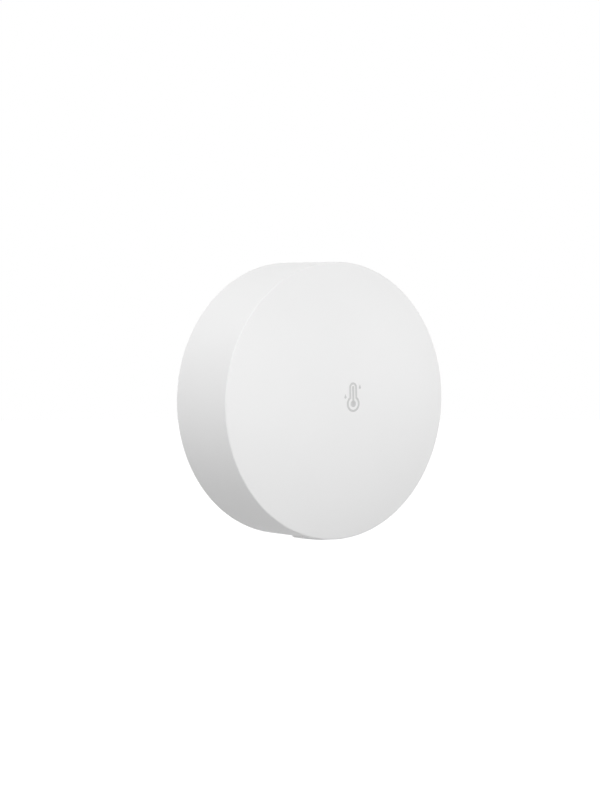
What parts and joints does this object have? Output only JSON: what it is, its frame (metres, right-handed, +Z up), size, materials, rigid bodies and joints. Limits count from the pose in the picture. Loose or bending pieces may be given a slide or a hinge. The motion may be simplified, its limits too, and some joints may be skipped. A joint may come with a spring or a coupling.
{
  "type": "temperature and humidity sensor",
  "caption": "Round domed room sensor that snaps onto a cover stuck to the wall, with a coin cell, vents and a push button in its side wall.",
  "frame": {"origin": "centre of the adhesive pad's back, where it meets the wall", "axes": "+Z up as it hangs, +Y into the wall, so the domed face looks along -Y, and +X to the right of someone who faces it"},
  "size_m": [0.045, 0.0177, 0.0453],
  "materials": {
    "shell_white": "moulded, fine matt texture",
    "cover_white": "moulded, matt",
    "button_white": "moulded, satin",
    "symbol_ink": "pad-printed ink",
    "pad_foam": "closed-cell foam tape",
    "holder_black": "moulded, matt",
    "contact_nickel": "nickel-plated spring strip",
    "cell_steel": "drawn stainless steel",
    "gasket_black": "moulded nylon",
    "cathode_black": "pressed powder",
    "anode_grey": "soft metal",
    "board_green": "solder mask",
    "screw_steel": "zinc plated",
    "switch_black": "moulded, matt",
    "tinned_steel": "tinned",
    "spring_steel": "rolled spring steel",
    "chip_black": "moulded epoxy",
    "chip_ceramic": "fired ceramic",
    "copper_gold": "gold-flashed copper",
    "capacitor_yellow": "moulded epoxy",
    "capacitor_tan": "fired ceramic",
    "led_clear": "clear epoxy"
  },
  "bodies": {
    "wall_plate": {"rear_cover": "cover_white", "mounting_pad": "pad_foam"},
    "housing": {"front_shell": "shell_white", "face_symbol": "symbol_ink", "battery_holder": "holder_black", "positive_contact": "contact_nickel", "negative_contact": "contact_nickel", "circuit_board": "board_green", "board_screws": "screw_steel", "switch_body": "switch_black", "switch_bracket": "tinned_steel", "switch_leads": "tinned_steel", "switch_dome": "spring_steel", "humidity_sensor": "chip_black", "radio_chip": "chip_black", "memory_chip": "chip_black", "memory_leads": "tinned_steel", "crystal_base": "chip_ceramic", "crystal_lid": "tinned_steel", "antenna_trace": "copper_gold", "inductor": "chip_black", "buffer_capacitor": "capacitor_yellow", "chip_resistors": "chip_black", "chip_capacitors": "capacitor_tan", "status_led": "led_clear", "test_pads": "copper_gold"},
    "cell": {"cell_can": "cell_steel", "cell_gasket": "gasket_black", "cell_cap": "cell_steel", "cathode_pellet": "cathode_black", "anode_disc": "anode_grey"},
    "button": {"pairing_button": "button_white"},
    "plunger": {"switch_plunger": "switch_black"}
  },
  "joints": [
    {"name": "cover_off", "type": "slide", "parent": "wall_plate", "child": "housing", "axis": [0, -1, 0], "range_m": [0, 0.03]},
    {"name": "cell_lift", "type": "slide", "parent": "housing", "child": "cell", "axis": [0, 1, 0], "range_m": [0, 0.012]},
    {"name": "button_press", "type": "slide", "parent": "housing", "child": "button", "axis": [0, 0, 1], "range_m": [0, 0.00025], "stiffness_N_per_m": 4000},
    {"name": "plunger_press", "type": "slide", "parent": "housing", "child": "plunger", "axis": [0, 0, 1], "range_m": [0, 0.00025], "deforming": ["switch_dome"]}
  ],
  "couplings": [
    {"joint": "cell_lift", "follows": "cover_off", "ratio": 0.4},
    {"joint": "plunger_press", "follows": "button_press", "ratio": 1}
  ]
}
